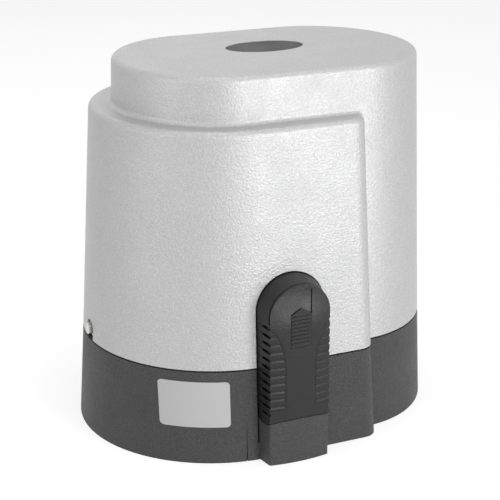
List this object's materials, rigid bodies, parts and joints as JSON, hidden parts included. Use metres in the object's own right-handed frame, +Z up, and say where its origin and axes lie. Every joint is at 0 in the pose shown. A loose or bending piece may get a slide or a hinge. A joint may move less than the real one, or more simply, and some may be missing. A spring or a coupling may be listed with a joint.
{
  "type": "sliding gate motor",
  "caption": "Sliding gate motor with lift-off cover, hinged release handle, worm-geared motor, clutch and rack pinion.",
  "frame": {"origin": "centre of the four foundation holes, on the mounting surface", "axes": "+Z up, +X along the gate, -Y towards the release handle, +Y towards the rack pinion"},
  "size_m": [0.3023, 0.2895, 0.305],
  "materials": {
    "badge": "dark satin inlay, bare",
    "base_grey": "dark grey moulded plastic, fine grain",
    "black_plastic": "black glass-filled nylon",
    "board_green": "green solder mask on glass board",
    "brass": "turned brass",
    "bronze": "cast bronze",
    "casting": "die-cast aluminium, as cast",
    "chip_black": "black component cases",
    "coil_tape": "yellow winding tape",
    "copper": "enamelled copper winding",
    "cover_silver": "silver-grey painted plastic, fine satin grain",
    "gear_steel": "cut and zinc-plated steel",
    "handle_black": "black moulded plastic, semi-gloss",
    "laminations": "varnished electrical steel",
    "plate": "pale satin film, bare",
    "relay_blue": "blue relay case",
    "rubber": "black moulded rubber",
    "spring_steel": "spring steel with plastic tip",
    "steel": "ground steel",
    "terminal_green": "green terminal housing",
    "white_plastic": "white plastic can",
    "zinc_steel": "zinc-plated steel"
  },
  "bodies": {
    "base": {"base": "base_grey", "gasket": "rubber", "rating_plate": "plate", "cable_grommet": "rubber", "gear_case": "casting", "gear_case_cover": "casting", "gear_case_screws": "zinc_steel", "shaft_bushes": "bronze", "shaft_seal": "rubber", "motor_bearings": "steel", "motor_lower_shield": "casting", "motor_upper_shield": "casting", "stator": "laminations", "windings": "copper", "tie_bolts": "zinc_steel", "release_block": "black_plastic", "control_bracket": "black_plastic", "circuit_board": "board_green", "relays": "relay_blue", "terminal_block": "terminal_green", "board_parts": "chip_black", "transformer": "laminations", "transformer_coil": "coil_tape", "capacitor": "white_plastic", "capacitor_clip": "black_plastic", "limit_housing": "black_plastic", "limit_pin": "steel"},
    "cover": {"cover": "cover_silver", "badge_inlay": "badge", "cover_screws": "zinc_steel"},
    "handle": {"release_handle": "handle_black", "hinge_pin": "steel"},
    "key_cover": {"key_cover": "handle_black"},
    "lock": {"lock_cylinder": "brass"},
    "push_rod": {"release_rod": "steel"},
    "output": {"output_shaft": "steel", "worm_wheel": "bronze", "rack_pinion": "gear_steel", "pinion_key": "steel", "pinion_bolt": "zinc_steel", "pinion_spacer": "steel", "pinion_distance_ring": "steel"},
    "clutch": {"clutch_ring": "steel", "clutch_pin": "steel"},
    "rotor": {"worm_shaft": "steel", "rotor": "laminations"},
    "limit_lever": {"limit_lever": "spring_steel"}
  },
  "joints": [
    {"name": "cover_lift", "type": "slide", "parent": "base", "child": "cover", "axis": [0, 0, 1], "range_m": [0, 0.2]},
    {"name": "handle_swing", "type": "hinge", "parent": "base", "child": "handle", "pos_m": [-0.028, -0.121, 0.049], "axis": [1, 0, 0], "range_deg": [0, 90]},
    {"name": "key_cover_slide", "type": "slide", "parent": "handle", "child": "key_cover", "axis": [0, 0, 1], "range_m": [0, 0.015]},
    {"name": "lock_turn", "type": "hinge", "parent": "handle", "child": "lock", "pos_m": [-0.028, -0.12, 0.108], "axis": [0, 1, 0], "range_deg": [0, 90]},
    {"name": "push_rod_slide", "type": "slide", "parent": "base", "child": "push_rod", "axis": [0, 1, 0], "range_m": [0, 0.005]},
    {"name": "output_spin", "type": "hinge", "parent": "base", "child": "output", "pos_m": [-0.028, 0, 0.057], "axis": [0, 1, 0], "continuous": true},
    {"name": "clutch_slide", "type": "slide", "parent": "output", "child": "clutch", "axis": [0, 1, 0], "range_m": [0, 0.005]},
    {"name": "rotor_spin", "type": "hinge", "parent": "base", "child": "rotor", "pos_m": [0.011, 0, 0.057], "axis": [0, 0, 1], "continuous": true},
    {"name": "limit_lever_swing", "type": "hinge", "parent": "base", "child": "limit_lever", "pos_m": [-0.028, 0.101, 0.126], "axis": [0, 0, 1], "range_deg": [-30, 30], "stiffness_Nm_per_rad": 0.05}
  ],
  "couplings": [
    {"joint": "push_rod_slide", "follows": "handle_swing", "m_per_rad": 0.0031831},
    {"joint": "clutch_slide", "follows": "handle_swing", "m_per_rad": 0.0031831},
    {"joint": "rotor_spin", "follows": "output_spin", "ratio": 30}
  ]
}
